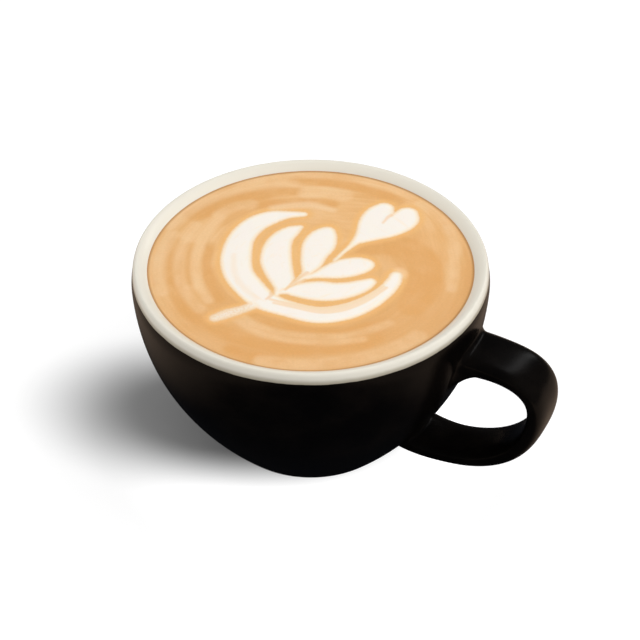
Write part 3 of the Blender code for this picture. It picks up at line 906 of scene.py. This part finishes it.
def drinkMaterial(name, group):
    made, t, shader = newMaterial(name)
    finish = drinkFinish
    look = t.tree.nodes.new("ShaderNodeGroup")
    look.node_tree = group
    look.inputs["Edge Wobble"].default_value = finish["edgeWobble"]
    t.put(shader.inputs["Base Color"], look.outputs["Color"])
    t.put(shader.inputs["Roughness"], look.outputs["Roughness"])
    bump = t.node("ShaderNodeBump", Strength=finish["bump"], Distance=finish["bumpHeight"])
    t.put(bump.inputs["Height"], look.outputs["Relief"])
    t.put(shader.inputs["Normal"], bump.outputs["Normal"])
    shader.inputs["Specular IOR Level"].default_value = finish["specular"]
    shader.inputs["Subsurface Weight"].default_value = finish["subsurface"]
    shader.inputs["Subsurface Radius"].default_value = finish["subsurfaceRadius"]
    shader.inputs["Subsurface Scale"].default_value = finish["subsurfaceScale"]
    return made


glaze = {
    "black": seen(5, 4, 4),
    "brown": seen(13, 10, 8),
    "white": seen(229, 224, 211),
    "line": seen(176, 168, 150),  # where the white thins out over the black
    "unevenness": 0.25,  # of the line between them, in mm
    "change": (-0.12, 0.12),  # the black turns white over this height, in mm from that line
    "thinTo": (0.1, 1.6),
    "roughness": (0.26, 0.2),  # black and white
    "coat": 0.3,
    "coatRoughness": 0.12,
    "specular": 0.12,
    "bump": 0.35,
    "bumpHeight": 0.08 * mm,
}


def glazeMaterial():  # satin black outside, glossy white on the lip and inside
    made, t, shader = newMaterial("glaze")
    place = t.node("ShaderNodeTexCoord").outputs["Object"]
    lining = t.value("lining")
    uneven = t.math("SUBTRACT", t.noise(place, 260.0, 2.0), 0.5)
    edge = t.math("ADD", lining, t.math("MULTIPLY", uneven, glaze["unevenness"]))
    white = t.ramp(edge, *glaze["change"])
    mottle = t.noise(place, 90.0, 3.0, 0.6)
    black = t.mix(t.ramp(mottle, 0.35, 0.75), glaze["black"], glaze["brown"])
    lip = t.mix(t.ramp(edge, *glaze["thinTo"]), glaze["line"], glaze["white"])
    t.put(shader.inputs["Base Color"], t.mix(white, black, lip))
    t.put(shader.inputs["Roughness"], t.ramp(edge, -0.2, 0.2, *glaze["roughness"]))
    t.put(shader.inputs["Coat Weight"], t.math("MULTIPLY", white, glaze["coat"]))
    shader.inputs["Coat Roughness"].default_value = glaze["coatRoughness"]
    fine = t.noise(place, 1400.0, 2.0, 0.5)
    waves = t.noise(place, 120.0, 2.0, 0.5)
    height = t.math("ADD", t.math("MULTIPLY", fine, 0.35), waves)
    bump = t.node("ShaderNodeBump", Strength=glaze["bump"], Distance=glaze["bumpHeight"], Height=height)
    t.put(shader.inputs["Normal"], bump.outputs["Normal"])
    shader.inputs["Specular IOR Level"].default_value = glaze["specular"]
    return made


look = drinkGroup()
cupPiece.data.materials.append(glazeMaterial())
coffeePiece.data.materials.append(drinkMaterial("coffee", look))
foamPiece.data.materials.append(drinkMaterial("milk_foam", look))

for piece, node, slot in (
    (cupPiece, "cup", "stoneware"),
    (coffeePiece, "coffee", "coffee"),
    (foamPiece, "milk_foam", "milk_foam"),
):
    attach(piece, "root")
    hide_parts(node)
print("materials done")

# Studio
studio = {
    "floorSize": 3.0,
    "floorColour": seen(166, 166, 166),
    "floorSpots": seen(164, 164, 164),
    "paintedReflectionSides": seen(186, 162, 142),  # painted reflection: the floor's colour as only the glaze's reflections see it, left and right of the cup
    "paintedReflectionMiddle": seen(34, 36, 42),  # and below and in front of it
    "sideways": (0.894, 0.449, 0.0),  # from left to right in the picture
    "sidesFrom": (48.0 * mm, 92.0 * mm),
    "world": (1.0, 1.0, 1.0, 1.0),
    "worldStrength": 0.50,
    "mirroredStrength": 0.05,  # as the glaze mirrors it
    "lights": (  # name, place, aim, width and height, watts, whether the glaze mirrors it
        ("key", (0.737, 0.07, 0.775), (0.0, 0.0, 0.03), (1.5, 1.5), 10.8, False),
        ("left", (-0.95, -0.10, 0.24), (0.0, 0.0, 0.05), (0.5, 0.5), 3.4, False),
        ("front", (0.35, -0.85, 0.38), (0.0, 0.0, 0.05), (0.5, 0.5), 0.8, False),
        ("window", (0.19, 0.69, 0.75), (0.04, 0.0, 0.045), (0.14, 0.9), 0.9, True),
    ),
}
glow = {  # painted light: for the camera the grey floor glows white, except in an oval where the cup's shadow falls, so the oval also shapes a painted shadow
    "strength": 1.22,
    "middle": (-23.2 * mm, -7.8 * mm, 0.0),
    "direction": math.radians(198.5),
    "halfSizes": (66.2 * mm, 38.3 * mm, 1.0),
    "start": 0.37,  # share of those half sizes that stays dark
    "fade": (32.0 * mm, 61.5 * mm),  # outward it falls off between these radii
    "farShare": 0.58,  # to this share
}

bpy.context.scene.view_settings.view_transform = "Standard"


def makeFloor():
    half = studio["floorSize"] / 2
    corners = [(-half, -half, 0.0), (half, -half, 0.0), (half, half, 0.0), (-half, half, 0.0)]
    floor = addMesh("floor", corners, [(0, 1, 2, 3)])
    made, t, shader = newMaterial("floor")
    place = t.node("ShaderNodeTexCoord").outputs["Object"]
    spots = t.noise(place, 40.0, 2.0)
    path = t.node("ShaderNodeLightPath")
    plain = t.mix(spots, studio["floorColour"], studio["floorSpots"])
    across = t.node("ShaderNodeVectorMath")
    across.operation = "DOT_PRODUCT"
    t.put(across.inputs[0], place)
    across.inputs[1].default_value = studio["sideways"]
    # painted reflection: glossy rays see the floor warm beside the cup and dark below and in front of it,
    # not in its own grey
    beside = t.ramp(t.math("ABSOLUTE", across.outputs["Value"]), *studio["sidesFrom"])
    mirrored = t.mix(beside, studio["paintedReflectionMiddle"], studio["paintedReflectionSides"])
    t.put(shader.inputs["Base Color"], t.mix(path.outputs["Is Glossy Ray"], plain, mirrored))
    # painted light and painted shadow: emission for camera rays only, left out inside the oval and fading
    # away from the cup
    shadow = t.node("ShaderNodeMapping", Vector=place, Location=glow["middle"], Scale=glow["halfSizes"])
    shadow.vector_type = "TEXTURE"
    shadow.inputs["Rotation"].default_value = (0.0, 0.0, glow["direction"])
    outside = t.ramp(t.length(shadow.outputs["Vector"]), glow["start"], 1.0)
    nearness = t.ramp(t.length(place), *glow["fade"], 1.0, glow["farShare"])
    shine = t.math("MULTIPLY", t.math("MULTIPLY", outside, nearness), path.outputs["Is Camera Ray"])
    shader.inputs["Emission Color"].default_value = (1.0, 1.0, 1.0, 1.0)
    t.put(shader.inputs["Emission Strength"], t.math("MULTIPLY", shine, glow["strength"]))
    shader.inputs["Roughness"].default_value = 0.9
    shader.inputs["Specular IOR Level"].default_value = 0.1
    floor.data.materials.append(made)


def makeLight(name, place, aim, size, watts, mirrored):
    data = bpy.data.lights.new(name, "AREA")
    data.shape = "RECTANGLE"
    data.size, data.size_y = size
    data.energy = watts
    placed = bpy.data.objects.new(name, data)
    placed.location = place
    away = Vector(place) - Vector(aim)
    placed.rotation_euler = away.to_track_quat("Z", "Y").to_euler()
    placed.visible_glossy = mirrored
    bpy.context.scene.collection.objects.link(placed)


makeFloor()
for light in studio["lights"]:
    makeLight(*light)


def makeWorld():
    world = bpy.data.worlds.new("studio")
    world.use_nodes = True
    t = Tree(world.node_tree)
    background = world.node_tree.nodes["Background"]
    background.inputs["Color"].default_value = studio["world"]
    path = t.node("ShaderNodeLightPath")
    strengths = studio["worldStrength"], studio["mirroredStrength"]
    strength = t.ramp(path.outputs["Is Glossy Ray"], 0.0, 1.0, *strengths)
    t.put(background.inputs["Strength"], strength)
    bpy.context.scene.world = world


makeWorld()
print("studio done")
